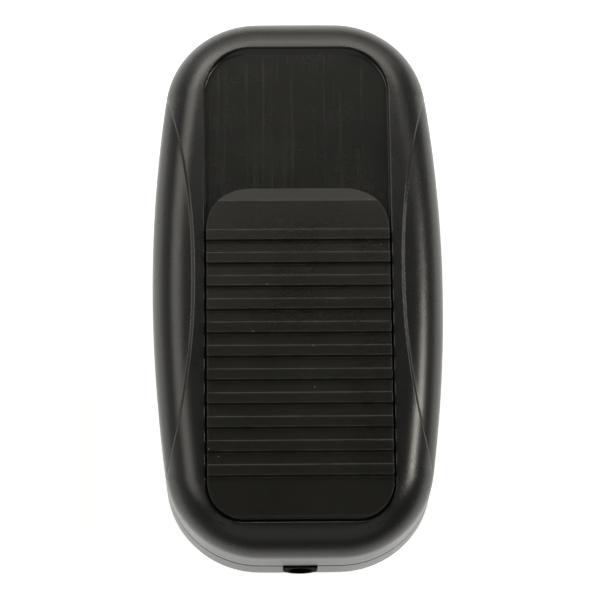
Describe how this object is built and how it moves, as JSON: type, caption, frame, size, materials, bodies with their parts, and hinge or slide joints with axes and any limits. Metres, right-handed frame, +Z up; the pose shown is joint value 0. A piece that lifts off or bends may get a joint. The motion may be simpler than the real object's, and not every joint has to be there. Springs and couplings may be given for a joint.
{
  "type": "floor dimmer switch",
  "caption": "In-line floor dimmer with a ribbed foot pedal that slides along a sunk track in a rounded black housing.",
  "frame": {"origin": "on the floor, under the middle of the housing", "axes": "+Z up, +Y along the housing towards the end that the pedal slides to, +X to the right seen from the front end"},
  "size_m": [0.06, 0.1156, 0.0242],
  "materials": {
    "cover_plastic": "fine matt texture",
    "base_plastic": "fine matt texture",
    "pedal_plastic": "matt, worn smoother on the ribs",
    "slider_nylon": "natural, smooth",
    "zinc_steel": "zinc plated",
    "plated_steel": "tin plated sheet",
    "phenolic_sheet": "pressed laminate",
    "carbon_ink": "printed film",
    "contact_brass": "bright",
    "board_laminate": "lacquered laminate",
    "black_epoxy": "moulded epoxy",
    "heatsink_aluminium": "plain bent sheet",
    "ferrite": "sintered ferrite",
    "enamelled_copper": "enamelled wire",
    "capacitor_yellow": "moulded box",
    "capacitor_red": "dipped",
    "diac_blue": "lacquered",
    "resistor_tan": "lacquered",
    "fuse_glass": "clear tube",
    "cap_plating": "nickel plated",
    "terminal_plastic": "moulded",
    "clamp_nylon": "natural, smooth",
    "black_rubber": "soft matt"
  },
  "bodies": {
    "housing": {"top_cover": "cover_plastic", "base_shell": "base_plastic", "pot_frame": "plated_steel", "pot_track_plate": "phenolic_sheet", "carbon_tracks": "carbon_ink", "circuit_board": "board_laminate", "board_screws": "zinc_steel", "triac": "black_epoxy", "heatsink": "heatsink_aluminium", "triac_screw": "zinc_steel", "choke_core": "ferrite", "choke_winding": "enamelled_copper", "suppression_capacitor": "capacitor_yellow", "timing_capacitor": "capacitor_red", "diac": "diac_blue", "resistors": "resistor_tan", "fuse_tube": "fuse_glass", "fuse_caps": "cap_plating", "fuse_clips": "contact_brass", "front_terminal_block": "terminal_plastic", "rear_terminal_block": "terminal_plastic", "terminal_screws": "zinc_steel", "front_cord_clamp": "clamp_nylon", "rear_cord_clamp": "clamp_nylon", "clamp_screws": "zinc_steel", "front_cord_bush": "black_rubber", "rear_cord_bush": "black_rubber", "cover_screws": "zinc_steel", "rubber_feet": "black_rubber"},
    "pedal": {"foot_pedal": "pedal_plastic", "pedal_retainer": "slider_nylon", "retainer_screws": "zinc_steel", "wiper_carrier": "slider_nylon", "wiper_contacts": "contact_brass"}
  },
  "joints": [
    {"name": "pedal_slide", "type": "slide", "parent": "housing", "child": "pedal", "axis": [0, 1, 0], "range_m": [0, 0.03]}
  ]
}
